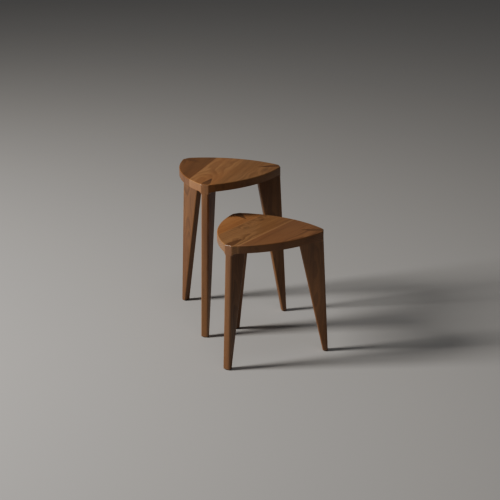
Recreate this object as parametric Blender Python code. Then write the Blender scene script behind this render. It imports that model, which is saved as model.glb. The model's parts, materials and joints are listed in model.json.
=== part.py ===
"""A nest of two three-legged wooden tables, modelled in metres with +Z up.

The tall and the low table share one plan: a top with three bulging sides that
meet in blunt noses, and a blade-shaped leg under each nose.  A leg's head comes
up through its nose as a wedge that narrows towards the table's axis, so its end
grain shows on the top as a dart.  Each top is glued up from three boards, with
loose tenons hidden in the two joints, and each foot stands on a nail-on glide.

The origin is on the floor, in the middle of the pair's plan box as they stand.
The low table slides under the tall one, between its front and right legs.
"""
import math

import bmesh
import bpy
from mathutils import Matrix, Vector

# --- Driving dimensions, metres and degrees ---------------------------------
NOSE_REACH = 0.185          # table's axis to the flat of a nose
SIDE_REACH = 0.138          # table's axis to the middle of a bulging side
NOSE_FILLET = 0.008         # plan radius where a nose turns into a side
TOP_THICKNESS = 0.0245
TOP_ARRIS = 0.003           # rounding of the top's upper edge

LEG_THICKNESS = 0.024       # also the width of a nose
LEG_WIDTH_TOP = 0.0785      # radial width under the top
LEG_WIDTH_FOOT = 0.016
LEG_SPLAY = 2.73            # outward lean of a leg's outer face
LEG_ARRIS = 0.005           # rounding of a leg's long edges
FLARE = 0.011               # hollow fillet that spreads a leg under the top

HEAD_SHOULDER = 0.160       # where the leg's head starts to narrow, from the axis
HEAD_TIP = 0.115            # where it ends
HEAD_TIP_WIDTH = 0.003

TENON_LENGTH = 0.040        # loose tenons across the board joints
TENON_WIDTH = 0.024
TENON_THICKNESS = 0.006

GLIDE_RADIUS = 0.007
GLIDE_HEIGHT = 0.0025
GLIDE_CHAMFER = 0.0008      # on a glide's lower edge
NAIL_RADIUS = 0.0012
NAIL_LENGTH = 0.010

GAP = 0.0003                # clearance between neighbouring solids
OVERSHOOT = 0.002           # how far a cutting or joining solid runs on

BOARD_LEAN = -30.0          # direction across the boards, from the right-hand nose
ROUND_STEPS = 5             # segments in a small rounding
SIDE_STEPS = 22             # segments along a bulging side
TURNED_STEPS = 24           # segments round a glide
CREASE_ANGLE = 35.0         # edges that turn more sharply stay crisp

# Each table: height, plan place of its axis, turn about it, and where the two
# board joints run, as distances from the axis along BOARD_LEAN.
TABLES = {
    "tall": {"height": 0.500, "at": (-0.0887, 0.1532), "turn": 12.5, "joints": (-0.066, 0.029)},
    "small": {"height": 0.392, "at": (0.0338, -0.1394), "turn": -3.8, "joints": (-0.081, 0.025)},
}
LEGS = {"right": 0.0, "back": 120.0, "front": 240.0}
BOARDS = ("back", "middle", "right")
# Loose tenons: distances from the axis along each joint line.
TENON_PLACES = {"back": (-0.055, 0.015), "right": (-0.060, 0.060)}

# --- Materials: linear colour, roughness, metallic ---------------------------
FINISHES = {
    "board_brown": ((0.230, 0.105, 0.038), 0.42, 0.0),
    "board_gold": ((0.245, 0.112, 0.040), 0.42, 0.0),
    "board_red": ((0.160, 0.064, 0.022), 0.42, 0.0),
    "leg_wood": ((0.150, 0.063, 0.022), 0.42, 0.0),
    "tenon_beech": ((0.480, 0.330, 0.190), 0.60, 0.0),
    "glide_nylon": ((0.022, 0.018, 0.015), 0.50, 0.0),
}
BOARD_FINISH = {
    ("tall", "back"): "board_red",
    ("tall", "middle"): "board_gold",
    ("tall", "right"): "board_brown",
    ("small", "back"): "board_brown",
    ("small", "middle"): "board_gold",
    ("small", "right"): "board_red",
}


def clear_scene():
    """Remove every object that the file opened with."""
    for item in list(bpy.data.objects):
        bpy.data.objects.remove(item, do_unlink=True)


def make_materials():
    """Return the Principled materials by name."""
    materials = {}
    for name, (colour, roughness, metallic) in FINISHES.items():
        material = bpy.data.materials.new(name)
        material.use_nodes = True
        shader = material.node_tree.nodes["Principled BSDF"]
        shader.inputs["Base Color"].default_value = (*colour, 1.0)
        shader.inputs["Roughness"].default_value = roughness
        shader.inputs["Metallic"].default_value = metallic
        materials[name] = material
    return materials


# --- Shapes ------------------------------------------------------------------
def arc(centre, radius, start, end, steps):
    """Return plan points along an arc, both ends included; angles in radians."""
    angles = [start + (end - start) * i / steps for i in range(steps + 1)]
    return [centre + radius * Vector((math.cos(a), math.sin(a))) for a in angles]


def turned(point, degrees):
    """Return a plan point turned about the table's axis."""
    return Matrix.Rotation(math.radians(degrees), 2) @ point


def top_outline(inset=0.0):
    """Return the top's plan outline, anticlockwise, moved inwards by inset."""
    half_nose = LEG_THICKNESS / 2
    start = Vector((NOSE_REACH, half_nose))
    end = turned(Vector((NOSE_REACH, -half_nose)), 120)
    chord = (end - start).length
    middle = (start + end) / 2
    rise = SIDE_REACH - middle.length
    side_radius = (chord ** 2 / 4 + rise ** 2) / (2 * rise)
    side_centre = middle.normalized() * (SIDE_REACH - side_radius)

    # The fillet touches the nose's flat and the side's arc from inside.
    along = NOSE_REACH - NOSE_FILLET - side_centre.x
    across = math.sqrt((side_radius - NOSE_FILLET) ** 2 - along ** 2)
    fillet_centre = Vector((NOSE_REACH - NOSE_FILLET, side_centre.y + across))
    leave = math.atan2(across, along)
    arrive = math.radians(120) - leave

    points = []
    for corner in LEGS.values():
        nose = arc(fillet_centre, NOSE_FILLET - inset, 0, leave, ROUND_STEPS)
        lower = [Vector((p.x, -p.y)) for p in reversed(nose)]
        side = arc(side_centre, side_radius - inset, leave, arrive, SIDE_STEPS)
        points += [turned(p, corner) for p in lower + nose + side[1:-1]]
    return points


def stack(rings):
    """Return a closed mesh skinned over plan rings, given as (height, points)."""
    shape = bmesh.new()
    loops = []
    for height, points in rings:
        loops.append([shape.verts.new((p[0], p[1], height)) for p in points])
    for low, high in zip(loops, loops[1:]):
        for i in range(len(low)):
            j = (i + 1) % len(low)
            shape.faces.new((low[i], low[j], high[j], high[i]))
    shape.faces.new(list(reversed(loops[0])))
    shape.faces.new(loops[-1])
    mesh = bpy.data.meshes.new("stack")
    shape.to_mesh(mesh)
    shape.free()
    return mesh


def combine(base, operation, *others):
    """Return base with the other meshes joined, cut or kept by Booleans."""
    carrier = bpy.data.objects.new("carrier", base)
    bpy.context.collection.objects.link(carrier)
    tools = []
    for mesh in others:
        tool = bpy.data.objects.new("tool", mesh)
        bpy.context.collection.objects.link(tool)
        modifier = carrier.modifiers.new("combine", "BOOLEAN")
        modifier.operation = operation
        modifier.solver = "EXACT"
        modifier.object = tool
        tools.append(tool)
    bpy.context.view_layer.update()
    evaluated = carrier.evaluated_get(bpy.context.evaluated_depsgraph_get())
    result = bpy.data.meshes.new_from_object(evaluated)
    for item in [carrier, *tools]:
        bpy.data.objects.remove(item, do_unlink=True)
    return result


def moved(mesh, matrix):
    """Return a copy of a mesh, transformed."""
    copy = mesh.copy()
    copy.transform(matrix)
    return copy


def turn_z(degrees):
    """Return the 4x4 rotation about +Z."""
    return Matrix.Rotation(math.radians(degrees), 4, "Z")


def box(low, high):
    """Return a box mesh between two opposite corners."""
    plan = [(low[0], low[1]), (high[0], low[1]), (high[0], high[1]), (low[0], high[1])]
    return stack([(low[2], plan), (high[2], plan)])


def top_blank(height, drop=0.0):
    """Return the whole top as one solid, its upper edge rounded over."""
    rings = [(height - TOP_THICKNESS - drop, top_outline())]
    for i in range(ROUND_STEPS + 1):
        angle = math.pi / 2 * i / ROUND_STEPS
        inset = TOP_ARRIS * (1 - math.cos(angle))
        rings.append((height - TOP_ARRIS * (1 - math.sin(angle)), top_outline(inset)))
    return stack(rings)


def head_plan(margin=0.0):
    """Return the plan of a leg's head on the right-hand nose, grown by margin."""
    wide = LEG_THICKNESS / 2 + margin
    narrow = HEAD_TIP_WIDTH / 2 + margin
    outer = NOSE_REACH + OVERSHOOT
    tip = HEAD_TIP - margin
    return [(outer, wide), (HEAD_SHOULDER, wide), (tip, narrow),
            (tip, -narrow), (HEAD_SHOULDER, -wide), (outer, -wide)]


def blade_plan(outer, inner, spread=0.0):
    """Return a leg's section, its long edges rounded, spread on three sides."""
    half = LEG_THICKNESS / 2 + spread
    inner -= spread
    radius = LEG_ARRIS + spread
    outer_round = arc(Vector((outer - LEG_ARRIS, half - LEG_ARRIS)), LEG_ARRIS, 0, math.pi / 2,
                      ROUND_STEPS)
    inner_round = arc(Vector((inner + radius, half - radius)), radius, math.pi / 2, math.pi,
                      ROUND_STEPS)
    upper = outer_round + inner_round
    return upper + [Vector((p.x, -p.y)) for p in reversed(upper)]


def leg_mesh(height):
    """Return a leg under the right-hand nose: blade, flare, head and nail hole."""
    shoulder = height - TOP_THICKNESS - GAP
    foot = GLIDE_HEIGHT + GAP
    foot_outer = NOSE_REACH + math.tan(math.radians(LEG_SPLAY)) * (shoulder - foot)
    top_inner = NOSE_REACH - LEG_WIDTH_TOP
    foot_inner = foot_outer - LEG_WIDTH_FOOT

    def section(level, spread=0.0):
        """Return the blade's ring at a height, spread on three sides."""
        share = (shoulder - level) / (shoulder - foot)
        outer = NOSE_REACH + (foot_outer - NOSE_REACH) * share
        inner = top_inner + (foot_inner - top_inner) * share
        return level, blade_plan(outer, inner, spread)

    blade = stack([section(foot), section(shoulder)])
    flare_rings = []
    for i in range(1, ROUND_STEPS + 1):
        angle = math.pi / 2 * i / ROUND_STEPS
        level = shoulder - FLARE * (1 - math.sin(angle))
        flare_rings.append(section(level, FLARE * (1 - math.cos(angle))))
    flare_rings.insert(0, section(shoulder - FLARE - OVERSHOOT))
    under_top = stack([(shoulder - FLARE - 2 * OVERSHOOT, top_outline(GAP)),
                       (shoulder + OVERSHOOT, top_outline(GAP))])
    flare = combine(stack(flare_rings), "INTERSECT", under_top)

    head_prism = stack([(shoulder - OVERSHOOT, head_plan()), (height + OVERSHOOT, head_plan())])
    head = combine(top_blank(height, drop=OVERSHOOT + GAP), "INTERSECT", head_prism)
    joined = combine(blade, "UNION", flare, head)

    centre = foot_outer - LEG_WIDTH_FOOT / 2
    hole = stack([(foot - OVERSHOOT, ring_points(centre, NAIL_RADIUS + GAP)),
                  (GLIDE_HEIGHT + NAIL_LENGTH + GAP, ring_points(centre, NAIL_RADIUS + GAP))])
    return combine(joined, "DIFFERENCE", hole), centre


def ring_points(centre, radius):
    """Return a closed circle of plan points about (centre, 0)."""
    return arc(Vector((centre, 0.0)), radius, 0, math.tau * (1 - 1 / TURNED_STEPS), TURNED_STEPS - 1)


def glide_mesh(centre):
    """Return a nail-on glide: a chamfered disc with its nail upwards."""
    profile = [(0.0, GLIDE_RADIUS - GLIDE_CHAMFER), (GLIDE_CHAMFER, GLIDE_RADIUS),
               (GLIDE_HEIGHT, GLIDE_RADIUS),
               (GLIDE_HEIGHT, NAIL_RADIUS), (GLIDE_HEIGHT + NAIL_LENGTH, NAIL_RADIUS)]
    return stack([(level, ring_points(centre, radius)) for level, radius in profile])


def tenon_mesh(height, joint, place, margin=0.0):
    """Return a loose tenon across a board joint, in the table's own frame."""
    middle = height - TOP_THICKNESS / 2
    low = (joint - TENON_LENGTH / 2 - margin, place - TENON_WIDTH / 2 - margin,
           middle - TENON_THICKNESS / 2 - margin)
    high = (joint + TENON_LENGTH / 2 + margin, place + TENON_WIDTH / 2 + margin,
            middle + TENON_THICKNESS / 2 + margin)
    return moved(box(low, high), turn_z(BOARD_LEAN))


def board_mesh(height, low, high, mortises):
    """Return one board of the top, between two joint lines."""
    reach = 2 * NOSE_REACH
    strip = box((low, -reach, height - 2 * TOP_THICKNESS), (high, reach, height + TOP_THICKNESS))
    board = combine(top_blank(height), "INTERSECT", moved(strip, turn_z(BOARD_LEAN)))
    plan = head_plan(GAP)
    notch = stack([(height - 2 * TOP_THICKNESS, plan), (height + TOP_THICKNESS, plan)])
    notches = [moved(notch, turn_z(angle)) for angle in LEGS.values()]
    return combine(board, "DIFFERENCE", *notches, *mortises)


# --- Assembly ----------------------------------------------------------------
def place(name, mesh, parent, material, turn=0.0):
    """Link a named piece under its table, shaded smooth where it is round."""
    mesh.name = name
    item = bpy.data.objects.new(name, mesh)
    bpy.context.collection.objects.link(item)
    item.parent = parent
    item.rotation_euler.z = math.radians(turn)
    mesh.materials.clear()
    mesh.materials.append(material)
    mesh.shade_smooth()
    mesh.set_sharp_from_angle(angle=math.radians(CREASE_ANGLE))
    return item


def build_table(name, spec, materials):
    """Model one table under an empty that stands on its axis."""
    axis = bpy.data.objects.new(f"{name}_axis", None)
    bpy.context.collection.objects.link(axis)
    axis.location = (*spec["at"], 0.0)
    axis.rotation_euler.z = math.radians(spec["turn"])
    height = spec["height"]

    joints = dict(zip(("back", "right"), spec["joints"]))
    mortises = []
    for side, joint in joints.items():
        for number, spot in enumerate(TENON_PLACES[side], start=1):
            mesh = tenon_mesh(height, joint, spot)
            place(f"{name}_tenon_{side}_{number}", mesh, axis, materials["tenon_beech"])
            mortises.append(tenon_mesh(height, joint, spot, GAP))

    edges = [-2 * NOSE_REACH, joints["back"], joints["right"], 2 * NOSE_REACH]
    for index, board in enumerate(BOARDS):
        low = edges[index] + GAP / 2
        high = edges[index + 1] - GAP / 2
        mesh = board_mesh(height, low, high, mortises)
        place(f"{name}_board_{board}", mesh, axis, materials[BOARD_FINISH[name, board]])

    leg, foot_centre = leg_mesh(height)
    glide = glide_mesh(foot_centre)
    for corner, angle in LEGS.items():
        place(f"{name}_leg_{corner}", leg.copy(), axis, materials["leg_wood"], angle)
        place(f"{name}_glide_{corner}", glide.copy(), axis, materials["glide_nylon"], angle)


def main():
    """Build both tables in an empty scene."""
    clear_scene()
    materials = make_materials()
    for name, spec in TABLES.items():
        build_table(name, spec, materials)


main()
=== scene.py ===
"""Looks for a nest of two three-legged wooden tables.

Each table is rebuilt from the frame's own reference faces: three edge-glued
boards with a softened rim, three blade legs that flare into the rim and come up
through it as dart-shaped heads, and nail-on glides.  All wood is one solid
growth-ring material, cut along a different grain for every board and leg, so
joints, end grain and edges agree wherever a surface turns.
"""
import json
import logging
import math
from dataclasses import dataclass, field
from enum import Enum
from typing import Iterable, Sequence

import bmesh
import bpy
from mathutils import Euler, Matrix, Vector

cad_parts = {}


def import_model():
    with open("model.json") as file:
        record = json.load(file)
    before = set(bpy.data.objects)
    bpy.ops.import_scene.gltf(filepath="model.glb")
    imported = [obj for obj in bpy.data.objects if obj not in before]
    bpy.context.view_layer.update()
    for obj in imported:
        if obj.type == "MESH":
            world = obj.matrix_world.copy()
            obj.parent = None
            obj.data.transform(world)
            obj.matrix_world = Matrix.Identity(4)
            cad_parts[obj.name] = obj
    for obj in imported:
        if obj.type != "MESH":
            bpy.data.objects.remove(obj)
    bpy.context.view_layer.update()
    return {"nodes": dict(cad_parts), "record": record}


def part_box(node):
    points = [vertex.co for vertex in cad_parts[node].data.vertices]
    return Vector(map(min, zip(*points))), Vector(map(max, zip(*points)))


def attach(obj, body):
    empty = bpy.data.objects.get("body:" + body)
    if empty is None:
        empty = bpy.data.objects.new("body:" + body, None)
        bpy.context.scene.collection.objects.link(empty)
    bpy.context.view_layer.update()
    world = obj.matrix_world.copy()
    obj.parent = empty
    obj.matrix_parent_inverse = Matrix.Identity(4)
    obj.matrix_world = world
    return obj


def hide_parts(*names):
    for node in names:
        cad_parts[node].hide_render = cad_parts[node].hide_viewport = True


LOG = logging.getLogger("nesting_tables")
TOUCH = 1e-6                # two heights nearer than this are one height
LEVEL = 0.9                 # a face whose normal is steeper than this lies flat
Colour = tuple[float, float, float]
Socket = bpy.types.NodeSocket

# Noises, in cells per metre along, across and through a plank.
FIBRE_CELLS = (14.0, 900.0, 900.0)
PORE_CELLS = (170.0, 2600.0, 2600.0)
BAND_CELLS = (2.2, 58.0, 30.0)
DRIFT_CELLS = (3.5, 11.0, 11.0)
SWAY_CELLS = (5.0, 7.0, 7.0)
RIPPLE_CELLS = (16.0, 60.0, 60.0)
CONTRAST_CELLS = (1.0, 16.0, 16.0)


class Corner(Enum):
    """A table's three noses, by their turn in degrees from the right-hand one."""

    RIGHT = 0.0
    BACK = 120.0
    FRONT = 240.0

    @property
    def label(self) -> str:
        """Return the name that the corner's nodes carry."""
        return self.name.lower()


class Cut(Enum):
    """How one solid changes another."""

    JOIN = "UNION"
    KEEP = "INTERSECT"
    REMOVE = "DIFFERENCE"


# --- Node graphs ---------------------------------------------------------------
class Graph:
    """A thin builder over one material's node tree."""

    def __init__(self, name: str) -> None:
        """Create an empty material.

        Args:
            name: the material's name.
        """
        self.material = bpy.data.materials.new(name)
        self.material.use_nodes = True
        self.tree = self.material.node_tree
        self.tree.nodes.clear()

    def node(self, kind: str, **settings: object) -> bpy.types.Node:
        """Add a node and set its properties.

        Args:
            kind: the node's type name.
            **settings: properties of the node.

        Returns:
            The new node.
        """
        made = self.tree.nodes.new(kind)
        for key, value in settings.items():
            setattr(made, key, value)
        return made

    def feed(self, socket: Socket, value: object) -> None:
        """Link a socket to an output, or set its own value.

        Args:
            socket: the input that is fed.
            value: an output socket, a number, a vector or a colour.
        """
        if isinstance(value, bpy.types.NodeSocket):
            self.tree.links.new(value, socket)
        elif isinstance(value, tuple) and len(value) == 3 and socket.type == "RGBA":
            socket.default_value = (*value, 1.0)
        else:
            socket.default_value = value

    def math(self, operation: str, *values: object) -> Socket:
        """Calculate with numbers.

        Args:
            operation: the Math node's operation.
            *values: its inputs, in order.

        Returns:
            The result.
        """
        made = self.node("ShaderNodeMath", operation=operation)
        for socket, value in zip(made.inputs, values):
            self.feed(socket, value)
        return made.outputs[0]

    def vector(self, operation: str, *values: object) -> Socket:
        """Calculate with vectors.

        Args:
            operation: the Vector Math node's operation.
            *values: its inputs, in order.

        Returns:
            The result, a number for a dot product and a vector otherwise.
        """
        made = self.node("ShaderNodeVectorMath", operation=operation)
        for socket, value in zip(made.inputs, values):
            self.feed(socket, value)
        return made.outputs[1 if operation == "DOT_PRODUCT" else 0]

    def noise(self, place: Socket, stretch: Sequence[float], detail: float = 2.0,
              roughness: float = 0.5) -> Socket:
        """Add a noise with its own scale along each axis.

        Args:
            place: the coordinates.
            stretch: the noise's cells per metre along each axis.
            detail: its octaves.
            roughness: how strong the finer octaves are.

        Returns:
            The noise, from 0 to 1.
        """
        made = self.node("ShaderNodeTexNoise")
        scaled = self.vector("MULTIPLY", place, tuple(stretch))
        for key, value in (("Vector", scaled), ("Scale", 1.0), ("Detail", detail),
                           ("Roughness", roughness)):
            self.feed(made.inputs[key], value)
        return made.outputs[0]

    def ramp(self, value: Socket, low: float, high: float, to_low: float = 0.0,
             to_high: float = 1.0, kind: str = "SMOOTHSTEP") -> Socket:
        """Map one range of numbers onto another, and clamp it.

        Args:
            value: the number.
            low: where the range starts.
            high: where it ends.
            to_low: what its start becomes.
            to_high: what its end becomes.
            kind: the Map Range node's interpolation.

        Returns:
            The mapped number.
        """
        made = self.node("ShaderNodeMapRange", interpolation_type=kind)
        for key, item in (("Value", value), ("From Min", low), ("From Max", high),
                          ("To Min", to_low), ("To Max", to_high)):
            self.feed(made.inputs[key], item)
        return made.outputs[0]

    def mix(self, share: object, first: object, second: object, blend: str = "MIX") -> Socket:
        """Mix two colours.

        Args:
            share: how much of the second colour is used.
            first: the colour underneath.
            second: the colour on top.
            blend: the Mix node's blend type.

        Returns:
            The mixed colour.
        """
        made = self.node("ShaderNodeMix", data_type="RGBA", blend_type=blend)
        colours = [socket for socket in made.inputs if socket.type == "RGBA"]
        self.feed(made.inputs[0], share)
        self.feed(colours[0], first)
        self.feed(colours[1], second)
        return next(socket for socket in made.outputs if socket.type == "RGBA")

    def grey(self, value: Socket) -> Socket:
        """Turn a number into a grey.

        Args:
            value: the brightness.

        Returns:
            The grey colour.
        """
        made = self.node("ShaderNodeCombineColor")
        for socket in made.inputs:
            self.feed(socket, value)
        return made.outputs[0]

    def finish(self, **sockets: object) -> bpy.types.Material:
        """Add the shader, feed it, and close the graph.

        Args:
            **sockets: Principled inputs, their spaces written as underscores.

        Returns:
            The finished material.
        """
        shader = self.node("ShaderNodeBsdfPrincipled")
        output = self.node("ShaderNodeOutputMaterial")
        for key, value in sockets.items():
            self.feed(shader.inputs[key.replace("_", " ")], value)
        self.tree.links.new(shader.outputs[0], output.inputs[0])
        return self.material


# --- Finishes --------------------------------------------------------------------
@dataclass(frozen=True)
class Tone:
    """The colours of one plank: early wood, late wood and its warm streaks."""

    early: Colour
    late: Colour
    streak: Colour
    # how much paler an arris is painted: painted highlight and wear
    worn_gain: float = 1.35

    def shadow(self, factor: float) -> Colour:
        """Return the late wood's colour, scaled."""
        return tuple(channel * factor for channel in self.late)

    def worn(self) -> Colour:
        """Return the early wood's colour made paler for an arris: a painted highlight, and wear
        where handling has polished it.
        """
        return tuple(channel * self.worn_gain for channel in self.early)


GOLDEN = Tone((0.330, 0.157, 0.058), (0.185, 0.076, 0.024), (0.280, 0.113, 0.035))
OLIVE = Tone((0.275, 0.133, 0.050), (0.140, 0.060, 0.020), (0.240, 0.103, 0.033))
BROWN = Tone((0.250, 0.110, 0.041), (0.120, 0.047, 0.016), (0.205, 0.076, 0.025))
RUSSET = Tone((0.188, 0.080, 0.025), (0.075, 0.028, 0.008), (0.150, 0.054, 0.015))
AMBER = Tone((0.335, 0.148, 0.050), (0.180, 0.067, 0.019), (0.310, 0.115, 0.031))
LEG = Tone((0.212, 0.092, 0.030), (0.062, 0.023, 0.006), (0.125, 0.046, 0.013))
BEECH = Tone((0.520, 0.360, 0.210), (0.380, 0.240, 0.130), (0.480, 0.310, 0.180))
SAPWOOD = (0.440, 0.230, 0.098)


@dataclass(frozen=True)
class Swirl:
    """A knot's swirl or a dark patch in the grain of a plank.

    It lies at a place along and across the plank.  Its lift moves the growth
    rings aside, and its core is how dark its heart is.
    """

    along: float
    across: float
    radius: float
    lift: float
    core: float = 0.5
    stretch: float = 1.7
    sharpness: float = 6.0

    def nearness(self, graph: Graph, along: Socket, across: Socket) -> Socket:
        """Measure how near a point is.

        Args:
            graph: the material that is built.
            along: the point's place along the plank.
            across: its place across the plank.

        Returns:
            A bell, 1 at the swirl's heart, longer along the grain.
        """
        x = graph.math("DIVIDE", graph.math("SUBTRACT", along, self.along),
                       self.radius * self.stretch)
        y = graph.math("DIVIDE", graph.math("SUBTRACT", across, self.across), self.radius)
        square = graph.math("ADD", graph.math("MULTIPLY", x, x), graph.math("MULTIPLY", y, y))
        return graph.math("EXPONENT", graph.math("MULTIPLY", square, -1.0))


@dataclass(frozen=True)
class Growth:
    """How a plank was cut from its log, and what its grain shows.

    The pith runs off the plank, at a distance across it and a depth below its
    face, and is tilted along the grain.  A pale edge is a sapwood streak at a
    place across the plank.
    """

    pith_across: float
    pith_depth: float
    ring: float
    seed: float
    tilt: float = 0.03
    swirls: tuple[Swirl, ...] = ()
    pale_edge: float | None = None


@dataclass(frozen=True)
class OiledWood:
    """Oiled hardwood, its growth rings followed through the solid.

    In the plank's own axes X runs along the grain and Y across the plank.  Z runs
    through a board's thickness, and outwards from the table's axis in a leg.
    """

    name: str
    tone: Tone
    growth: Growth
    place: Vector
    axes: Euler
    end_darkening: float = 0.24         # share of shadow that end grain takes
    end_shadow: float = 0.42
    edge_wear: float = 0.45             # share of paler colour painted on an arris: painted highlight and edge wear
    worn_gloss: float = 0.20            # how much smoother a worn arris is
    pore_share: float = 0.55
    pore_shadow: float = 0.28
    pore_dullness: float = 0.2
    heart_share: float = 0.8
    heart_shadow: float = 0.35
    sway: float = 0.014                 # how far the rings wander, in metres
    ripple: float = 0.0016
    wander: float = 0.006               # how far a sapwood streak's edge wanders
    relief: float = 0.00025
    bump: float = 0.22
    coat: float = 0.12
    coat_roughness: float = 0.30

    def build(self) -> bpy.types.Material:
        """Build the wood.

        Returns:
            The procedural material.
        """
        graph = Graph(self.name)
        where = graph.node("ShaderNodeTexCoord")
        mapping = graph.node("ShaderNodeMapping", vector_type="TEXTURE")
        graph.feed(mapping.inputs["Vector"], where.outputs["Object"])
        mapping.inputs["Location"].default_value = self.place
        mapping.inputs["Rotation"].default_value = self.axes
        plank = mapping.outputs[0]
        seed = self.growth.seed
        seeded = graph.vector("ADD", plank, (seed, seed * 0.37, seed * 0.71))

        fibre = graph.noise(seeded, FIBRE_CELLS, 3.0, 0.65)
        pores = graph.ramp(graph.noise(seeded, PORE_CELLS, 1.0), 0.655, 0.74)
        colour = self.colour(graph, plank, seeded, fibre, pores)

        # An arris faces neither flat nor square to the plank, so it lies between. Every arris is
        # painted paler: a painted highlight, with some edge wear.
        endwise = self.facing(graph, where, Vector((1.0, 0.0, 0.0)))
        flatwise = self.facing(graph, where, Vector((0.0, 0.0, 1.0)))
        worn = graph.math("MULTIPLY", graph.ramp(flatwise, 0.08, 0.35),
                          graph.ramp(flatwise, 0.80, 0.97, 1.0, 0.0))
        # Painted highlight and edge wear: the arris mask mixes in the paler arris colour.
        colour = graph.mix(graph.math("MULTIPLY", worn, self.edge_wear), colour,
                           self.tone.worn())
        colour = graph.mix(graph.ramp(endwise, 0.45, 0.95, 0.0, self.end_darkening), colour,
                           self.tone.shadow(self.end_shadow))

        bump = graph.node("ShaderNodeBump")
        graph.feed(bump.inputs["Strength"], self.bump)
        graph.feed(bump.inputs["Distance"], self.relief)
        graph.feed(bump.inputs["Height"],
                   graph.math("SUBTRACT", graph.math("MULTIPLY", fibre, 0.5), pores))
        dullness = graph.math("ADD", graph.ramp(fibre, 0.2, 0.8, 0.44, 0.58, "LINEAR"),
                              graph.math("MULTIPLY", pores, self.pore_dullness))
        dullness = graph.math("SUBTRACT", dullness,
                              graph.math("MULTIPLY", worn, self.worn_gloss))
        return graph.finish(Base_Color=colour, Roughness=dullness, Normal=bump.outputs[0],
                            Coat_Weight=self.coat, Coat_Roughness=self.coat_roughness)

    def colour(self, graph: Graph, plank: Socket, seeded: Socket, fibre: Socket,
               pores: Socket) -> Socket:
        """Colour the long grain.

        Args:
            graph: the material that is built.
            plank: the plank's own coordinates.
            seeded: the same, moved to this plank's part of the noises.
            fibre: the fine fibres.
            pores: the open pores.

        Returns:
            The colour, before arrises are paled and end grain is darkened.
        """
        rings, heart = self.rings(graph, plank, seeded)
        bands = graph.noise(seeded, BAND_CELLS, 3.0, 0.55)
        drift = graph.noise(seeded, DRIFT_CELLS)
        colour = graph.mix(rings, self.tone.early, self.tone.late)
        colour = graph.mix(graph.ramp(drift, 0.35, 0.70, 0.0, 0.75), colour, self.tone.streak)
        colour = graph.mix(graph.ramp(bands, 0.48, 0.72, 0.0, 0.55), colour, self.tone.late)
        if self.growth.pale_edge is not None:
            colour = self.add_pale_edge(graph, colour, plank, bands)
        shade = graph.grey(graph.ramp(fibre, 0.25, 0.75, 0.80, 1.16, "LINEAR"))
        colour = graph.mix(1.0, colour, shade, "MULTIPLY")
        colour = graph.mix(graph.math("MULTIPLY", pores, self.pore_share), colour,
                           self.tone.shadow(self.pore_shadow))
        if heart is not None:
            colour = graph.mix(graph.math("MULTIPLY", heart, self.heart_share), colour,
                               self.tone.shadow(self.heart_shadow))
        return colour

    def rings(self, graph: Graph, plank: Socket, seeded: Socket) -> tuple[Socket, Socket | None]:
        """Follow the growth rings through the plank.

        Args:
            graph: the material that is built.
            plank: the plank's own coordinates.
            seeded: the same, moved to this plank's part of the noises.

        Returns:
            How late the wood is at a point, and how deep it lies in a swirl.
        """
        growth = self.growth
        parts = graph.node("ShaderNodeSeparateXYZ")
        graph.feed(parts.inputs[0], plank)
        along, across, depth = parts.outputs
        aside = graph.math("SUBTRACT", across, growth.pith_across)
        below = graph.math("ADD", graph.math("ADD", depth, growth.pith_depth),
                           graph.math("MULTIPLY", along, growth.tilt))
        square = graph.math("ADD", graph.math("MULTIPLY", aside, aside),
                            graph.math("MULTIPLY", below, below))
        sway = graph.noise(seeded, SWAY_CELLS, 2.0, 0.45)
        ripple = graph.noise(seeded, RIPPLE_CELLS)
        reach = graph.math("SQRT", square)
        for wave, swing in ((sway, self.sway), (ripple, self.ripple)):
            reach = graph.math("ADD", reach, graph.ramp(wave, 0.0, 1.0, -swing, swing, "LINEAR"))

        heart = None
        for swirl in growth.swirls:
            near = swirl.nearness(graph, along, across)
            reach = graph.math("ADD", reach, graph.math("MULTIPLY", near, swirl.lift))
            core = graph.math("MULTIPLY", graph.math("POWER", near, swirl.sharpness), swirl.core)
            heart = core if heart is None else graph.math("MAXIMUM", heart, core)

        phase = graph.math("FRACT", graph.math("DIVIDE", reach, growth.ring))
        rise = graph.ramp(phase, 0.10, 0.90)
        fall = graph.ramp(phase, 0.90, 1.0, 1.0, 0.0)
        strength = graph.ramp(graph.noise(seeded, CONTRAST_CELLS, 1.0, 0.4),
                              0.3, 0.7, 0.20, 0.85)
        return graph.math("MULTIPLY", graph.math("MULTIPLY", rise, fall), strength), heart

    def add_pale_edge(self, graph: Graph, colour: Socket, plank: Socket,
                      bands: Socket) -> Socket:
        """Lay a sapwood streak along one joint.

        Args:
            graph: the material that is built.
            colour: the colour underneath.
            plank: the plank's own coordinates.
            bands: the noise that the streak's edge wanders with.

        Returns:
            The colour with its streak.
        """
        parts = graph.node("ShaderNodeSeparateXYZ")
        graph.feed(parts.inputs[0], plank)
        wander = graph.math("MULTIPLY", graph.math("SUBTRACT", bands, 0.5), self.wander)
        away = graph.math("ABSOLUTE",
                          graph.math("SUBTRACT", parts.outputs[1], self.growth.pale_edge))
        share = graph.ramp(graph.math("ADD", away, wander), 0.0, 0.009, 0.6, 0.0)
        return graph.mix(share, colour, SAPWOOD)

    def facing(self, graph: Graph, where: bpy.types.Node, direction: Vector) -> Socket:
        """Measure how squarely the surface faces one way of the plank.

        Args:
            graph: the material that is built.
            where: its texture coordinates.
            direction: a unit vector in the plank's own axes.

        Returns:
            1 where the surface faces along the direction or against it, and 0 beside it.
        """
        turned = tuple(self.axes.to_matrix() @ direction)
        return graph.math("ABSOLUTE",
                          graph.vector("DOT_PRODUCT", where.outputs["Normal"], turned))


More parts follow.
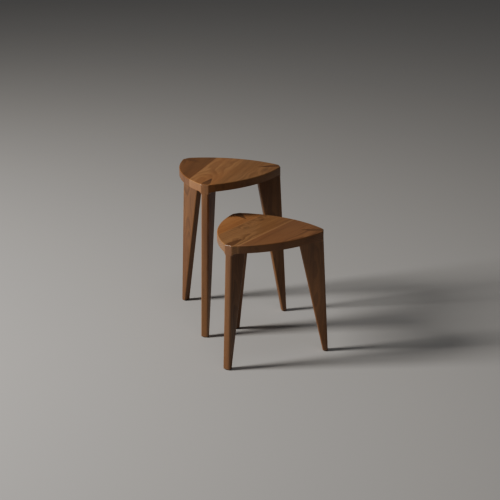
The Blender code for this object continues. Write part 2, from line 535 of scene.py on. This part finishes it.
@dataclass(frozen=True)
class MouldedNylon:
    """Dark moulded nylon with a faint worn mottle."""

    name: str = "moulded_nylon"
    colour: Colour = (0.022, 0.018, 0.015)
    worn: Colour = (0.060, 0.052, 0.045)

    def build(self) -> bpy.types.Material:
        """Build the nylon.

        Returns:
            The procedural material.
        """
        graph = Graph(self.name)
        where = graph.node("ShaderNodeTexCoord").outputs["Object"]
        mottle = graph.noise(where, (900.0, 900.0, 900.0), 3.0, 0.6)
        colour = graph.mix(graph.ramp(mottle, 0.4, 0.75), self.colour, self.worn)
        return graph.finish(Base_Color=colour,
                            Roughness=graph.ramp(mottle, 0.2, 0.8, 0.42, 0.62, "LINEAR"))


@dataclass(frozen=True)
class PlainGround:
    """The pale matt ground that the tables stand on."""

    name: str = "pale_ground"
    light: Colour = (0.460, 0.455, 0.450)
    dark: Colour = (0.446, 0.441, 0.437)

    def build(self) -> bpy.types.Material:
        """Build the ground's finish.

        Returns:
            The procedural material.
        """
        graph = Graph(self.name)
        where = graph.node("ShaderNodeTexCoord").outputs["Object"]
        cloud = graph.noise(where, (0.8, 0.8, 0.8))
        return graph.finish(Base_Color=graph.mix(cloud, self.light, self.dark), Roughness=0.9)


# --- Mesh helpers ------------------------------------------------------------------
def object_from(shape: bmesh.types.BMesh, name: str) -> bpy.types.Object:
    """Turn a bmesh into a linked object at the origin.

    Args:
        shape: the mesh, freed here.
        name: the object's name.

    Returns:
        The object.
    """
    bmesh.ops.recalc_face_normals(shape, faces=shape.faces)
    mesh = bpy.data.meshes.new(name)
    shape.to_mesh(mesh)
    shape.free()
    item = bpy.data.objects.new(name, mesh)
    bpy.context.scene.collection.objects.link(item)
    return item


def combine(base: bpy.types.Object, cut: Cut,
            tools: Iterable[bpy.types.Object]) -> bpy.types.Object:
    """Apply Booleans to an object and remove the tools.

    Args:
        base: the object that is changed.
        cut: how the tools change it.
        tools: the other solids.

    Returns:
        The base object, with its new mesh.
    """
    tools = list(tools)
    for tool in tools:
        modifier = base.modifiers.new(cut.name.lower(), "BOOLEAN")
        modifier.operation = cut.value
        modifier.solver = "EXACT"
        modifier.object = tool
    bpy.context.view_layer.update()
    evaluated = base.evaluated_get(bpy.context.evaluated_depsgraph_get())
    mesh = bpy.data.meshes.new_from_object(evaluated)
    base.modifiers.clear()
    base.data = mesh
    for tool in tools:
        bpy.data.objects.remove(tool, do_unlink=True)
    return base


def turn_z(degrees: float) -> Matrix:
    """Return the rotation about +Z."""
    return Matrix.Rotation(math.radians(degrees), 4, "Z")


def vertices_of(result: dict[str, list]) -> list[bmesh.types.BMVert]:
    """Return the vertices that an extrusion made."""
    return [item for item in result["geom"] if isinstance(item, bmesh.types.BMVert)]


def raise_loop(shape: bmesh.types.BMesh, height: float) -> None:
    """Fill the one closed loop in a bmesh and extrude it upwards.

    Args:
        shape: the mesh that holds the loop.
        height: how far it is raised.
    """
    bmesh.ops.remove_doubles(shape, verts=shape.verts, dist=TOUCH)
    made = bmesh.ops.contextual_create(shape, geom=shape.edges[:])
    lifted = bmesh.ops.extrude_face_region(shape, geom=made["faces"])
    bmesh.ops.translate(shape, verts=vertices_of(lifted), vec=(0.0, 0.0, height))


def round_over(shape: bmesh.types.BMesh, edges: Iterable[bmesh.types.BMEdge], width: float,
               segments: int) -> None:
    """Round the given edges over, or fill them with a hollow if they turn inwards.

    Args:
        shape: the mesh.
        edges: its edges that are rounded.
        width: the rounding's reach along each face.
        segments: the faces across the rounding.
    """
    bmesh.ops.bevel(shape, geom=list(edges), offset=width, offset_type="OFFSET",
                    segments=segments, profile=0.5, affect="EDGES", material=-1,
                    clamp_overlap=False)


def shade_smooth(item: bpy.types.Object, degrees: float = 32.0) -> None:
    """Shade an object smooth, with creases where it turns by more than some degrees."""
    item.data.shade_smooth()
    item.data.set_sharp_from_angle(angle=math.radians(degrees))


# --- The plan that both tops share ---------------------------------------------------
@dataclass(frozen=True)
class TopPlan:
    """The plan of a top: three blunt noses joined by bulging sides."""

    nose_reach: float = 0.185
    side_reach: float = 0.138
    nose_width: float = 0.024
    nose_fillet: float = 0.008
    fillet_steps: int = 8
    side_steps: int = 56

    def side(self) -> tuple[Vector, float]:
        """Find the arc of the side beyond the right-hand nose.

        Returns:
            The arc's centre and its radius.
        """
        half = self.nose_width / 2
        start = Vector((self.nose_reach, half, 0.0))
        end = turn_z(Corner.BACK.value) @ Vector((self.nose_reach, -half, 0.0))
        middle = (start + end) / 2
        rise = self.side_reach - middle.length
        radius = ((end - start).length ** 2 / 4 + rise ** 2) / (2 * rise)
        return middle.normalized() * (self.side_reach - radius), radius

    def fillet(self) -> tuple[Vector, float]:
        """Find the arc that eases the right-hand nose into the side beyond it.

        Returns:
            The arc's centre, and the angle that it turns.
        """
        centre, radius = self.side()
        along = self.nose_reach - self.nose_fillet - centre.x
        across = math.sqrt((radius - self.nose_fillet) ** 2 - along ** 2)
        place = Vector((self.nose_reach - self.nose_fillet, centre.y + across, 0.0))
        return place, math.atan2(across, along)

    def draw(self, shape: bmesh.types.BMesh) -> None:
        """Draw the outline as one closed loop at height 0.

        Args:
            shape: the bmesh that it is drawn in.
        """
        side_centre, _ = self.side()
        upper_centre, leave = self.fillet()
        lower_centre = Vector((upper_centre.x, -upper_centre.y, 0.0))
        sweep = math.radians(Corner.BACK.value) - 2 * leave
        entry = lower_centre + self.nose_fillet * Vector((math.cos(leave), -math.sin(leave), 0.0))
        flat_end = Vector((self.nose_reach, upper_centre.y, 0.0))
        for corner in Corner:
            turn = turn_z(corner.value)
            vertex = shape.verts.new(turn @ entry)
            vertex = self.sweep(shape, vertex, turn @ lower_centre, leave, self.fillet_steps)
            flat = shape.verts.new(turn @ flat_end)
            shape.edges.new((vertex, flat))
            vertex = self.sweep(shape, flat, turn @ upper_centre, leave, self.fillet_steps)
            self.sweep(shape, vertex, turn @ side_centre, sweep, self.side_steps)

    @staticmethod
    def sweep(shape: bmesh.types.BMesh, vertex: bmesh.types.BMVert, centre: Vector,
              angle: float, steps: int) -> bmesh.types.BMVert:
        """Sweep a vertex along an arc.

        Args:
            shape: the bmesh that holds it.
            vertex: where the arc starts.
            centre: its centre.
            angle: how far it turns, in radians.
            steps: its segments.

        Returns:
            The vertex at the arc's end.
        """
        made = bmesh.ops.spin(shape, geom=[vertex], cent=centre, axis=(0.0, 0.0, 1.0),
                              angle=angle, steps=steps, use_merge=False, use_duplicate=False)
        return next(item for item in made["geom_last"] if isinstance(item, bmesh.types.BMVert))


# --- The tables ------------------------------------------------------------------------
@dataclass(frozen=True)
class Board:
    """One board of a top: its name, where it lies across the top, and its wood."""

    label: str
    low: float
    high: float
    tone: Tone
    slot: str
    growth: Growth


@dataclass(frozen=True)
class Top:
    """A table's top: three boards between two joint lines."""

    plan: TopPlan
    boards: tuple[Board, ...]
    thickness: float = 0.0245
    arris: float = 0.003
    arris_steps: int = 7
    lean: float = -30.0
    grain: float = 60.0
    fit: float = 0.00002

    def blank(self, table: "Table", drop: float = 0.0) -> bpy.types.Object:
        """Build the whole top in one solid, its upper edge rounded over.

        Args:
            table: the table that it belongs to.
            drop: how far it is run on downwards.

        Returns:
            The solid, in the table's own axes.
        """
        tall = self.thickness + drop
        shape = bmesh.new()
        self.plan.draw(shape)
        raise_loop(shape, tall)
        rim = [e for e in shape.edges if min(v.co.z for v in e.verts) > tall - TOUCH]
        round_over(shape, rim, self.arris, self.arris_steps)
        bmesh.ops.translate(shape, verts=shape.verts, vec=(0.0, 0.0, table.height - tall))
        return object_from(shape, "blank")

    def strip(self, board: Board, table: "Table") -> bpy.types.Object:
        """Build the straight strip that one board is cut to.

        Args:
            board: the board.
            table: the table that it belongs to.

        Returns:
            The solid, in the table's own axes.
        """
        shape = bmesh.new()
        bmesh.ops.create_cube(shape, size=1.0)
        size = (board.high - board.low, 3 * self.plan.nose_reach, 4 * self.thickness)
        middle = ((board.low + board.high) / 2, 0.0, table.height - self.thickness / 2)
        bmesh.ops.scale(shape, vec=size, verts=shape.verts)
        bmesh.ops.translate(shape, vec=middle, verts=shape.verts)
        bmesh.ops.transform(shape, matrix=turn_z(self.lean), verts=shape.verts)
        return object_from(shape, "strip")

    def build(self, board: Board, table: "Table") -> bpy.types.Object:
        """Build one board, notched for the heads of the legs.

        Args:
            board: the board.
            table: the table that it belongs to.

        Returns:
            The finished board, in the frame.
        """
        item = combine(self.blank(table), Cut.KEEP, [self.strip(board, table)])
        notches = [table.leg.head_prism(table, corner, self.fit) for corner in Corner]
        combine(item, Cut.REMOVE, notches)
        item.data.transform(table.matrix)
        item.name = f"{table.name}_{board.label}_board"
        shade_smooth(item)
        return item

    def wood(self, board: Board, table: "Table") -> OiledWood:
        """Choose the wood of one board, its grain along the joints.

        Args:
            board: the board.
            table: the table that it belongs to.

        Returns:
            The finish.
        """
        return OiledWood(name=f"{table.name}_{board.label}_board_wood", tone=board.tone,
                         growth=board.growth, place=table.axis,
                         axes=Euler((0.0, 0.0, math.radians(table.turn + self.grain))))


@dataclass(frozen=True)
class Leg:
    """A blade leg with its flare under the top and its dart-shaped head."""

    plan: TopPlan
    thickness: float = 0.024
    width_top: float = 0.0785
    width_foot: float = 0.016
    splay: float = 2.73
    arris: float = 0.005
    arris_steps: int = 8
    flare: float = 0.011
    flare_steps: int = 12
    shoulder: float = 0.160
    tip: float = 0.115
    tip_width: float = 0.003
    foot: float = 0.0028
    foot_arris: float = 0.0012
    foot_steps: int = 3
    slab_margin: float = 2.5            # the slab's overhang, in flares
    slack: float = 1.02                 # how far the envelope leans past the leg
    run_on: float = 0.002
    proud: float = 0.00003
    heart_inset: float = 0.03

    def lean(self, drop: float) -> float:
        """Return how far the outer face has moved out at a drop below the top."""
        return math.tan(math.radians(self.splay)) * drop

    def blade(self, under: float) -> bpy.types.Object:
        """Build the blade with its hollow flare, cut off level under the top.

        Args:
            under: the height of the top's underside.

        Returns:
            The solid, under the right-hand nose.
        """
        shape = bmesh.new()
        self.draw_hanging_blade(shape, under)
        corners = [e for e in shape.edges if self.is_long_corner(e, under)]
        round_over(shape, corners, self.arris, self.arris_steps)
        junction = [e for e in shape.edges if self.is_junction(e, under)]
        round_over(shape, junction, self.flare, self.flare_steps)
        sole = [e for e in shape.edges if max(v.co.z for v in e.verts) < self.foot + TOUCH]
        round_over(shape, sole, self.foot_arris, self.foot_steps)
        cut = bmesh.ops.bisect_plane(shape, geom=shape.verts[:] + shape.edges[:] + shape.faces[:],
                                     plane_co=(0.0, 0.0, under - self.proud / 3),
                                     plane_no=(0.0, 0.0, 1.0), clear_outer=True)
        rim = [item for item in cut["geom_cut"] if isinstance(item, bmesh.types.BMEdge)]
        bmesh.ops.contextual_create(shape, geom=rim)
        return object_from(shape, "blade")

    def draw_hanging_blade(self, shape: bmesh.types.BMesh, under: float) -> None:
        """Draw a square-edged blade that hangs from a slab.

        Args:
            shape: the bmesh that it is drawn in.
            under: the height of the slab's underside.
        """
        half = self.thickness / 2
        outer = self.plan.nose_reach
        inner = outer - self.width_top
        foot_outer = outer + self.lean(under - self.foot)
        margin = self.slab_margin * self.flare
        bmesh.ops.create_grid(shape, x_segments=3, y_segments=3, size=0.5)
        steps = sorted({round(v.co.x, 6) for v in shape.verts})
        columns = dict(zip(steps, (inner - margin, inner, outer, outer + margin)))
        rows = dict(zip(steps, (-half - margin, -half, half, half + margin)))
        for vertex in shape.verts:
            vertex.co = Vector((columns[round(vertex.co.x, 6)], rows[round(vertex.co.y, 6)],
                                under))
        slab = bmesh.ops.extrude_face_region(shape, geom=shape.faces[:], use_keep_orig=True)
        bmesh.ops.translate(shape, verts=vertices_of(slab), vec=(0.0, 0.0, self.run_on))
        middle = [f for f in shape.faces if f.calc_center_median().z < under + TOUCH
                  and inner < f.calc_center_median().x < outer
                  and abs(f.calc_center_median().y) < half]
        for vertex in vertices_of(bmesh.ops.extrude_face_region(shape, geom=middle)):
            outside = vertex.co.x > (inner + outer) / 2
            vertex.co.x = foot_outer if outside else foot_outer - self.width_foot
            vertex.co.z = self.foot
        bmesh.ops.delete(shape, geom=middle, context="FACES_ONLY")

    @staticmethod
    def is_junction(edge: bmesh.types.BMEdge, under: float) -> bool:
        """Tell whether an edge is where the blade meets the slab's underside.

        Args:
            edge: the edge.
            under: the height of the slab's underside.

        Returns:
            Whether it is.
        """
        level = all(abs(v.co.z - under) < TOUCH for v in edge.verts)
        flat = sum(abs(face.normal.z) > LEVEL for face in edge.link_faces)
        return level and len(edge.link_faces) == 2 and flat == 1

    def is_long_corner(self, edge: bmesh.types.BMEdge, under: float) -> bool:
        """Tell whether an edge is one of the blade's four long corners.

        Args:
            edge: the edge.
            under: the height of the slab's underside.

        Returns:
            Whether it is.
        """
        low, high = sorted(v.co.z for v in edge.verts)
        return low < self.foot + TOUCH and abs(high - under) < TOUCH

    def envelope(self, under: float) -> bpy.types.Object:
        """Build the top's outline run down to the floor, leaning out with the legs.

        Args:
            under: the height of the top's underside.

        Returns:
            The solid that trims the flare flush with the rim.
        """
        shape = bmesh.new()
        self.plan.draw(shape)
        raise_loop(shape, under + self.run_on)
        bmesh.ops.translate(shape, verts=shape.verts, vec=(0.0, 0.0, -self.run_on))
        for vertex in shape.verts:
            reach = vertex.co.xy.length
            lean = 0.0
            if vertex.co.z < under / 2:
                lean = self.slack * self.lean(under - vertex.co.z)
            vertex.co.xy *= (reach + lean + self.proud) / reach
        return object_from(shape, "envelope")

    def head_prism(self, table: "Table", corner: Corner, margin: float = 0.0) -> bpy.types.Object:
        """Build the dart-shaped prism of a leg's head, taller than the top.

        Args:
            table: the table that it belongs to.
            corner: the nose that it is turned to.
            margin: how much wider than the head it is.

        Returns:
            The solid, in the table's own axes.
        """
        wide = self.thickness / 2 + margin
        narrow = self.tip_width / 2 + margin
        outer = self.plan.nose_reach + self.run_on
        tip = self.tip - margin
        outline = ((outer, wide), (self.shoulder, wide), (tip, narrow),
                   (tip, -narrow), (self.shoulder, -wide), (outer, -wide))
        shape = bmesh.new()
        points = [shape.verts.new((x, y, table.under - self.run_on)) for x, y in outline]
        for first, second in zip(points, points[1:] + points[:1]):
            shape.edges.new((first, second))
        raise_loop(shape, table.top.thickness + 3 * self.run_on)
        bmesh.ops.transform(shape, matrix=turn_z(corner.value), verts=shape.verts)
        return object_from(shape, "head_prism")

    def build(self, table: "Table", corner: Corner) -> bpy.types.Object:
        """Build one leg with its head.

        Args:
            table: the table that it belongs to.
            corner: the nose that it stands under.

        Returns:
            The finished leg, in the frame.
        """
        item = combine(self.blade(table.under), Cut.KEEP, [self.envelope(table.under)])
        head = combine(table.top.blank(table, self.run_on), Cut.KEEP,
                       [self.head_prism(table, Corner.RIGHT)])
        combine(item, Cut.JOIN, [head])
        item.data.transform(table.matrix @ turn_z(corner.value))
        item.name = f"{table.name}_{corner.label}_leg"
        shade_smooth(item)
        return item

    def wood(self, table: "Table", corner: Corner) -> OiledWood:
        """Choose a leg's wood, its grain running up the leg.

        Args:
            table: the table that it belongs to.
            corner: the nose that it stands under.

        Returns:
            The finish.
        """
        number = list(Corner).index(corner)
        # Each leg is sawn a little further from the pith than the one before it.
        growth = Growth(pith_across=0.055 + 0.01 * number, pith_depth=0.004, ring=0.0034,
                        seed=7.0 + 3.1 * number, tilt=0.02)
        inset = Vector((self.plan.nose_reach - self.heart_inset, 0.0, 0.0))
        upright = math.radians(-90.0)
        return OiledWood(name=f"{table.name}_{corner.label}_leg_wood", tone=LEG, growth=growth,
                         place=table.matrix @ turn_z(corner.value) @ inset,
                         axes=Euler((0.0, upright, math.radians(table.turn + corner.value))))


@dataclass(frozen=True)
class Glide:
    """A nail-on glide: a low turned button and its nail."""

    radius: float = 0.007
    height: float = 0.0025
    chamfer: float = 0.0008
    nail_radius: float = 0.0012
    nail: float = 0.010
    steps: int = 40

    def build(self, table: "Table", corner: Corner) -> bpy.types.Object:
        """Build one glide, turned about its nail.

        Args:
            table: the table that it belongs to.
            corner: the nose that its leg stands under.

        Returns:
            The finished glide, in the frame.
        """
        head = self.height + self.nail
        profile = ((0.0, 0.0), (self.radius - self.chamfer, 0.0), (self.radius, self.chamfer),
                   (self.radius, self.height), (self.nail_radius, self.height),
                   (self.nail_radius, head), (0.0, head))
        shape = bmesh.new()
        points = [shape.verts.new((x, 0.0, z)) for x, z in profile]
        for first, second in zip(points, points[1:]):
            shape.edges.new((first, second))
        bmesh.ops.spin(shape, geom=shape.verts[:] + shape.edges[:], cent=(0.0, 0.0, 0.0),
                       axis=(0.0, 0.0, 1.0), angle=math.tau, steps=self.steps, use_merge=True)
        bmesh.ops.remove_doubles(shape, verts=shape.verts, dist=TOUCH)
        low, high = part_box(f"{table.name}_glide_{corner.label}")
        middle = (low + high) / 2
        bmesh.ops.translate(shape, verts=shape.verts, vec=(middle.x, middle.y, low.z))
        item = object_from(shape, f"{table.name}_{corner.label}_glide")
        shade_smooth(item)
        return item


@dataclass(frozen=True)
class Table:
    """One table of the nest, placed by the frame's reference faces."""

    name: str
    mounts: dict[str, Vector]
    top: Top
    leg: Leg
    glide: Glide = field(default_factory=Glide)

    @property
    def body(self) -> str:
        """Return the name of the table's body."""
        return f"{self.name}_table"

    @property
    def axis(self) -> Vector:
        """Return the middle of the top face."""
        return self.mounts[f"{self.name}_top"]

    @property
    def height(self) -> float:
        """Return the top face's height."""
        return self.axis.z

    @property
    def under(self) -> float:
        """Return the height of the top's underside."""
        return self.height - self.top.thickness

    @property
    def turn(self) -> float:
        """Return the table's turn about +Z in degrees, from its right-hand foot."""
        foot = self.mounts[f"{self.name}_foot_right"] - self.axis
        return math.degrees(math.atan2(foot.y, foot.x))

    @property
    def matrix(self) -> Matrix:
        """Return the transform from the table's own axes to the frame."""
        return Matrix.Translation((self.axis.x, self.axis.y, 0.0)) @ turn_z(self.turn)

    def fit_out(self, item: bpy.types.Object, material: bpy.types.Material,
                node: str) -> None:
        """Dress a piece and tie it to its body and node.

        Args:
            item: the piece.
            material: its finish.
            node: the CAD node that it replaces.
        """
        item.data.materials.clear()
        item.data.materials.append(material)
        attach(item, self.body)
        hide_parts(node)
        LOG.info("%s: %d faces on %s", item.name, len(item.data.polygons), self.body)

    def build(self, nylon: bpy.types.Material) -> None:
        """Build every piece of the table.

        Args:
            nylon: the finish of the glides.
        """
        for board in self.top.boards:
            self.fit_out(self.top.build(board, self), self.top.wood(board, self).build(),
                         f"{self.name}_board_{board.label}")
        for corner in Corner:
            self.fit_out(self.leg.build(self, corner), self.leg.wood(self, corner).build(),
                         f"{self.name}_leg_{corner.label}")
            self.fit_out(self.glide.build(self, corner), nylon,
                         f"{self.name}_glide_{corner.label}")


@dataclass(frozen=True)
class LooseTenons:
    """The hidden loose tenons, which keep the frame's own meshes."""

    growth: Growth = Growth(pith_across=0.2, pith_depth=0.3, ring=0.002, seed=0.0)

    def dress(self, nodes: dict[str, bpy.types.Object]) -> None:
        """Give the tenons their beech.

        Args:
            nodes: the frame's nodes by name.
        """
        beech = OiledWood(name="tenon_beech", tone=BEECH, growth=self.growth,
                          place=Vector((0.0, 0.0, 0.0)), axes=Euler((0.0, 0.0, 0.0))).build()
        for name, node in nodes.items():
            if "_tenon_" in name:
                node.data.materials.clear()
                node.data.materials.append(beech)
                LOG.info("%s: beech", name)


# --- Surroundings ------------------------------------------------------------------------
@dataclass(frozen=True)
class Studio:
    """Floor, soft light and camera."""

    target: Vector
    camera_offset: tuple[float, float, float] = (0.0839, -4.631, 1.784)
    camera_pitch: float = 18.585
    camera_roll: float = -0.27
    camera_lens: float = 108.03
    ambient: float = 0.06
    floor_half_width: float = 30.0

    def build(self) -> None:
        """Build the whole surroundings."""
        self.add_ground()
        self.add_camera()
        self.add_world()
        self.add_light("window", (-3.90, -0.76, 2.55), (1.0, 2.4), 290.0, (1.0, 0.95, 0.88))
        self.add_light("overhead", (0.1, -0.9, 3.0), (0.8, 0.8), 6.0, (1.0, 0.98, 0.96))

    def add_ground(self) -> None:
        """Add the wide floor."""
        shape = bmesh.new()
        bmesh.ops.create_grid(shape, x_segments=1, y_segments=1, size=self.floor_half_width)
        ground = object_from(shape, "ground")
        ground.data.materials.append(PlainGround().build())

    def add_camera(self) -> None:
        """Add the camera, which looks down a little along +Y."""
        lens = bpy.data.cameras.new("camera")
        lens.lens = self.camera_lens
        lens.sensor_width = 36.0
        lens.clip_end = 100.0
        camera = bpy.data.objects.new("camera", lens)
        bpy.context.scene.collection.objects.link(camera)
        camera.location = Vector((self.target.x, self.target.y, 0.0)) + Vector(self.camera_offset)
        tilt = Euler((math.radians(90.0 - self.camera_pitch), 0.0, 0.0)).to_matrix()
        roll = Matrix.Rotation(math.radians(self.camera_roll), 3, "Z")
        camera.rotation_euler = (tilt @ roll).to_euler()
        bpy.context.scene.camera = camera

    def add_world(self) -> None:
        """Add the even light from all round."""
        world = bpy.data.worlds.new("studio")
        world.use_nodes = True
        backdrop = world.node_tree.nodes["Background"]
        backdrop.inputs["Color"].default_value = (0.95, 0.97, 1.0, 1.0)
        backdrop.inputs["Strength"].default_value = self.ambient
        bpy.context.scene.world = world

    @staticmethod
    def add_light(name: str, place: tuple[float, float, float], size: tuple[float, float],
                  power: float, colour: Colour) -> None:
        """Add a soft light that faces the tables.

        Args:
            name: the light's name.
            place: where it stands.
            size: its width and height in metres.
            power: its power in watts.
            colour: its linear colour.
        """
        lamp = bpy.data.lights.new(name, "AREA")
        lamp.shape = "RECTANGLE"
        lamp.size, lamp.size_y = size
        lamp.energy = power
        lamp.color = colour
        item = bpy.data.objects.new(name, lamp)
        bpy.context.scene.collection.objects.link(item)
        item.location = place
        aim = Vector((0.0, 0.0, 0.3)) - Vector(place)
        item.rotation_euler = aim.to_track_quat("-Z", "Y").to_euler()


# --- The pair -----------------------------------------------------------------------------
def tall_boards() -> tuple[Board, ...]:
    """Choose the tall table's boards.

    Returns:
        The boards, from the back nose to the right-hand one.
    """
    heart = Swirl(0.030, -0.131, 0.012, 0.003, core=0.6, stretch=3.0, sharpness=1.5)
    return (
        Board("back", -0.300, -0.066, RUSSET, "board_red", Growth(0.16, 0.050, 0.0048, 3.0)),
        Board("middle", -0.066, 0.029, GOLDEN, "board_gold", Growth(0.03, 0.110, 0.0050, 11.0)),
        Board("right", 0.029, 0.300, OLIVE, "board_brown",
              Growth(-0.12, 0.070, 0.0044, 19.0, swirls=(heart,))),
    )


def small_boards() -> tuple[Board, ...]:
    """Choose the low table's boards.

    Returns:
        The boards, from the back nose to the right-hand one.
    """
    swirls = (Swirl(-0.016, 0.050, 0.020, 0.018), Swirl(0.078, 0.055, 0.020, 0.016, core=0.7))
    return (
        Board("back", -0.300, -0.081, AMBER, "board_brown", Growth(0.05, 0.090, 0.0046, 27.0)),
        Board("middle", -0.081, 0.025, OLIVE, "board_gold",
              Growth(0.01, 0.100, 0.0052, 35.0, swirls=swirls)),
        Board("right", 0.025, 0.300, BROWN, "board_red",
              Growth(-0.14, 0.060, 0.0046, 43.0, pale_edge=-0.025)),
    )


def main() -> None:
    """Build both tables and their surroundings around the frame."""
    logging.basicConfig(level=logging.INFO, format="%(name)s: %(message)s")
    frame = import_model()
    mounts = {mount["name"]: Vector(mount["pos_m"]) for mount in frame["record"]["mounts"]}
    plan = TopPlan()
    nylon = MouldedNylon().build()
    for name, boards in (("tall", tall_boards()), ("small", small_boards())):
        Table(name, mounts, Top(plan, boards), Leg(plan)).build(nylon)
    LooseTenons().dress(frame["nodes"])
    Studio(mounts["tall_top"]).build()


if __name__ == "__main__":
    main()
